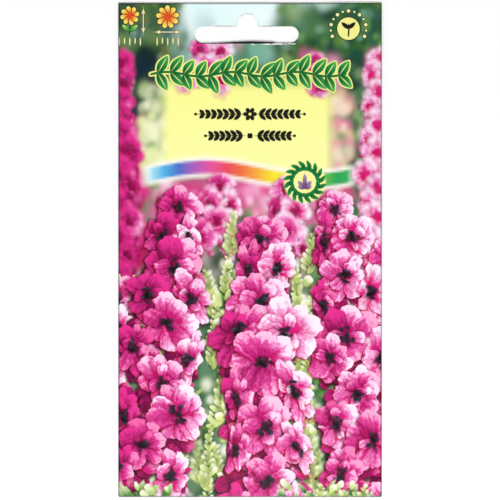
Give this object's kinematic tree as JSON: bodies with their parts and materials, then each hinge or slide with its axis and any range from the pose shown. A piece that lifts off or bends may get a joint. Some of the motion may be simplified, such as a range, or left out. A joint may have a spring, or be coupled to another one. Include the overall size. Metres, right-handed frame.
{
  "type": "printed paper seed packet",
  "caption": "Flat paper seed packet, folded and glued from one printed sheet, with a hang slot in its header and a small sachet of seeds inside.",
  "frame": {"origin": "under the middle of the packet, on the surface that its back lies on", "axes": "+X across the packet to the right as its front is read, +Y up the packet towards the hang slot, +Z out of the printed front"},
  "size_m": [0.08, 0.15, 0.0027],
  "materials": {
    "printed_paper": "coated paper, offset printed in pinks and greens, satin varnish",
    "dried_glue": "thin film of dried dispersion glue",
    "glassine": "smooth calendered translucent paper",
    "seed_coat": "dull, finely wrinkled dark brown seed coat"
  },
  "bodies": {
    "root": {"printed_envelope": "printed_paper", "side_seam_glue": "dried_glue", "foot_flap_glue": "dried_glue", "header_glue": "dried_glue", "header_glue_over_flap": "dried_glue", "seed_sachet": "glassine", "seed_01": "seed_coat", "seed_02": "seed_coat", "seed_03": "seed_coat", "seed_04": "seed_coat", "seed_05": "seed_coat", "seed_06": "seed_coat", "seed_07": "seed_coat", "seed_08": "seed_coat", "seed_09": "seed_coat", "seed_10": "seed_coat", "seed_11": "seed_coat", "seed_12": "seed_coat", "seed_13": "seed_coat", "seed_14": "seed_coat", "seed_15": "seed_coat", "seed_16": "seed_coat", "seed_17": "seed_coat", "seed_18": "seed_coat", "seed_19": "seed_coat", "seed_20": "seed_coat"}
  },
  "joints": []
}
